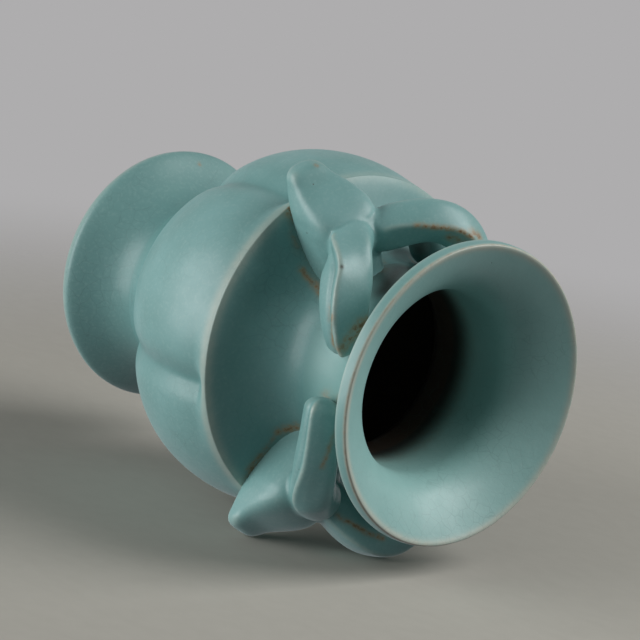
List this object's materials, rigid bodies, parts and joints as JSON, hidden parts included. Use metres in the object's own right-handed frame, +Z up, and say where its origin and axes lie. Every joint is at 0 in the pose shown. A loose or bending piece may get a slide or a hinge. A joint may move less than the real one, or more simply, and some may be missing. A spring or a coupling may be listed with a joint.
{
  "type": "ram head zun vase",
  "caption": "Glazed ceramic vase with a trumpet mouth, lobed belly and flared foot, and ram heads with curved horns on its shoulder.",
  "frame": {"origin": "middle of the underside, on the vase's axis", "axes": "+Z up the vase's axis towards the mouth, -Y out through the front ram's head"},
  "size_m": [0.1756, 0.184, 0.225],
  "materials": {
    "foot_glaze": "soft satin blue-green glaze, thinner and paler on the rim",
    "body_glaze": "soft satin blue-green glaze with a faint crackle, pale where it thins on the ridge",
    "mouth_glaze": "soft satin blue-green glaze, pale where it thins on the lip",
    "ram_glaze": "soft satin blue-green glaze, pale on the edges and rust brown in the hollows"
  },
  "bodies": {
    "root": {"base_plate": "foot_glaze", "foot": "foot_glaze", "belly": "body_glaze", "shoulder": "body_glaze", "neck_mouth": "mouth_glaze", "ram_head_front": "ram_glaze", "ram_head_right": "ram_glaze", "ram_head_left": "ram_glaze", "horn_front_left": "ram_glaze", "horn_front_right": "ram_glaze", "horn_right_left": "ram_glaze", "horn_right_right": "ram_glaze", "horn_left_left": "ram_glaze", "horn_left_right": "ram_glaze"}
  },
  "joints": []
}
